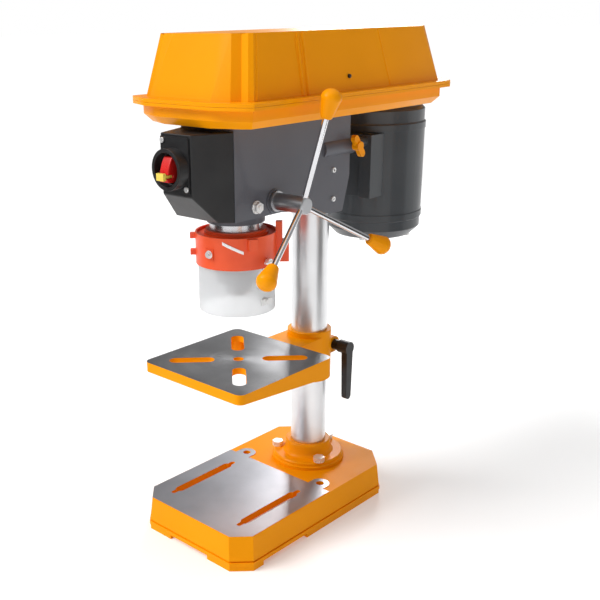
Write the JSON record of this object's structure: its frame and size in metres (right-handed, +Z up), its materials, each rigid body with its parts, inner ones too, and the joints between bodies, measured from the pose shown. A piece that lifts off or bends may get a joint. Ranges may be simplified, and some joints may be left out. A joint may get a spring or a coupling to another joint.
{
  "type": "drill press",
  "caption": "Bench drill press with round column, slotted swing table, three-handle feed, keyed chuck in a sliding clear guard and belt drive under a hinged cover.",
  "frame": {"origin": "midway between the two bench bolt holes, on the bench plane", "axes": "+Z up along the column, -Y to the operator, +X to the side with the feed handles"},
  "size_m": [0.225, 0.4475, 0.588],
  "materials": {
    "orange_paint": "gloss orange enamel; the machined faces of base and table are bare grey metal",
    "grey_paint": "satin blue-grey enamel",
    "black_plastic": "moulded black plastic",
    "black_steel": "blackened steel",
    "zinc_steel": "bright zinc plate",
    "machined_steel": "turned and ground",
    "bright_steel": "ground bright tube",
    "chrome": "polished",
    "dark_steel": "dark oxide",
    "cast_aluminium": "turned",
    "motor_paint": "semi-gloss dark grey enamel",
    "copper_winding": "varnished winding",
    "belt_rubber": "matt",
    "red_plastic": "moulded, slightly glossy",
    "yellow_plastic": "moulded",
    "clear_plastic": "clear, faintly grey"
  },
  "bodies": {
    "frame": {"base": "orange_paint", "column_flange": "orange_paint", "flange_bolts": "zinc_steel", "flange_set_screw": "zinc_steel"},
    "column": {"column": "bright_steel"},
    "table": {"table": "orange_paint", "table_clamp_nut": "zinc_steel"},
    "table_lever": {"table_clamp_stud": "black_steel", "table_clamp_lever": "black_plastic"},
    "head": {"head": "grey_paint", "head_set_screws": "zinc_steel", "quill_guide_screw": "zinc_steel", "cord_gland": "black_plastic", "front_shroud": "black_plastic", "switch_plate": "black_plastic", "switch_screws": "zinc_steel", "switch_bezel": "black_plastic", "sleeve_bearing": "machined_steel", "return_spring": "machined_steel", "spring_cap": "black_plastic", "guard_ring": "red_plastic", "guard_clamp_screws": "zinc_steel", "cover_pan": "orange_paint", "pan_screws": "zinc_steel", "hinge_pins": "zinc_steel", "v_belt": "belt_rubber"},
    "switch_paddle": {"switch_paddle": "red_plastic"},
    "switch_key": {"switch_key": "yellow_plastic"},
    "quill": {"quill": "machined_steel", "quill_bearings": "machined_steel"},
    "spindle": {"spindle": "machined_steel", "chuck_body": "dark_steel"},
    "chuck_sleeve": {"chuck_sleeve": "dark_steel"},
    "jaw_1": {"jaw_1": "machined_steel"},
    "jaw_2": {"jaw_2": "machined_steel"},
    "jaw_3": {"jaw_3": "machined_steel"},
    "spindle_pulley": {"pulley_sleeve": "machined_steel", "spindle_pulley": "cast_aluminium", "pulley_nut": "zinc_steel"},
    "feed": {"pinion_shaft": "machined_steel", "feed_hub": "dark_steel", "feed_rods": "chrome", "feed_knobs": "orange_paint", "spring_nut": "zinc_steel"},
    "guard_shield": {"guard_shield": "clear_plastic"},
    "guard_wing_screw": {"guard_wing_screw": "zinc_steel"},
    "lid": {"cover_lid": "orange_paint", "lid_screw": "black_steel"},
    "motor": {"motor_stator": "copper_winding", "motor_bearings": "machined_steel", "motor_body": "motor_paint", "motor_upper_bell": "motor_paint", "motor_lower_bell": "motor_paint", "motor_bolts": "zinc_steel", "terminal_box": "motor_paint", "motor_mount": "motor_paint"},
    "motor_rotor": {"motor_pulley": "cast_aluminium", "motor_shaft": "machined_steel", "motor_rotor": "machined_steel"},
    "tension_knob": {"belt_tension_knob": "orange_paint"}
  },
  "joints": [
    {"name": "table_swing", "type": "hinge", "parent": "frame", "child": "column", "pos_m": [0, 0.053, 0.1], "axis": [0, 0, 1], "range_deg": [-180, 180]},
    {"name": "table_height", "type": "slide", "parent": "column", "child": "table", "axis": [0, 0, 1], "range_m": [-0.066, 0.062]},
    {"name": "table_clamp", "type": "hinge", "parent": "table", "child": "table_lever", "pos_m": [0.034, 0.089, 0.196], "axis": [1, 0, 0], "range_deg": [-60, 60]},
    {"name": "head_swivel", "type": "hinge", "parent": "frame", "child": "head", "pos_m": [0, 0.053, 0.42], "axis": [0, 0, 1], "range_deg": [-90, 90]},
    {"name": "feed", "type": "hinge", "parent": "head", "child": "feed", "pos_m": [0.0805, -0.05825, 0.4115], "axis": [1, 0, 0], "range_deg": [0, 382], "stiffness_Nm_per_rad": 0.05, "springref_deg": -286.48},
    {"name": "quill_travel", "type": "slide", "parent": "head", "child": "quill", "axis": [0, 0, -1], "range_m": [0, 0.0501]},
    {"name": "spindle_spin", "type": "hinge", "parent": "quill", "child": "spindle", "pos_m": [0, -0.079, 0.36], "axis": [0, 0, 1], "continuous": true},
    {"name": "spindle_pulley_spin", "type": "hinge", "parent": "head", "child": "spindle_pulley", "pos_m": [0, -0.079, 0.53], "axis": [0, 0, 1], "continuous": true},
    {"name": "chuck_sleeve_turn", "type": "hinge", "parent": "spindle", "child": "chuck_sleeve", "pos_m": [0, -0.079, 0.335], "axis": [0, 0, 1], "range_deg": [-700, 550]},
    {"name": "jaw_1_slide", "type": "slide", "parent": "spindle", "child": "jaw_1", "axis": [-0.1801, -0.104, -0.9781], "range_m": [-0.0147, 0.0116]},
    {"name": "jaw_2_slide", "type": "slide", "parent": "spindle", "child": "jaw_2", "axis": [0.1801, -0.104, -0.9781], "range_m": [-0.0147, 0.0116]},
    {"name": "jaw_3_slide", "type": "slide", "parent": "spindle", "child": "jaw_3", "axis": [0, 0.2079, -0.9781], "range_m": [-0.0147, 0.0116]},
    {"name": "shield_height", "type": "slide", "parent": "head", "child": "guard_shield", "axis": [0, 0, 1], "range_m": [0, 0.018]},
    {"name": "shield_wing_screw", "type": "hinge", "parent": "head", "child": "guard_wing_screw", "pos_m": [0.05, -0.079, 0.348], "axis": [1, 0, 0], "range_deg": [-180, 180]},
    {"name": "lid_hinge", "type": "hinge", "parent": "head", "child": "lid", "pos_m": [-0.0944, 0.085, 0.5205], "axis": [0, -1, 0], "range_deg": [0, 105]},
    {"name": "belt_tension", "type": "slide", "parent": "head", "child": "motor", "axis": [0, 1, 0], "range_m": [-0.014, 0]},
    {"name": "motor_spin", "type": "hinge", "parent": "motor", "child": "motor_rotor", "pos_m": [0, 0.183, 0.45], "axis": [0, 0, 1], "continuous": true},
    {"name": "tension_knob_turn", "type": "hinge", "parent": "head", "child": "tension_knob", "pos_m": [0.05, 0.0775, 0.457], "axis": [1, 0, 0], "range_deg": [-180, 180]},
    {"name": "switch_rock", "type": "hinge", "parent": "head", "child": "switch_paddle", "pos_m": [0, -0.17, 0.457], "axis": [1, 0, 0], "range_deg": [0, 16]},
    {"name": "key_pull", "type": "slide", "parent": "switch_paddle", "child": "switch_key", "axis": [0, -1, 0], "range_m": [0, 0.014]}
  ],
  "couplings": [
    {"joint": "quill_travel", "follows": "feed", "m_per_rad": 0.0075},
    {"joint": "spindle_pulley_spin", "follows": "spindle_spin", "ratio": 1},
    {"joint": "motor_spin", "follows": "spindle_spin", "ratio": 1.0345},
    {"joint": "jaw_1_slide", "follows": "chuck_sleeve_turn", "m_per_rad": 0.0012},
    {"joint": "jaw_2_slide", "follows": "chuck_sleeve_turn", "m_per_rad": 0.0012},
    {"joint": "jaw_3_slide", "follows": "chuck_sleeve_turn", "m_per_rad": 0.0012}
  ]
}
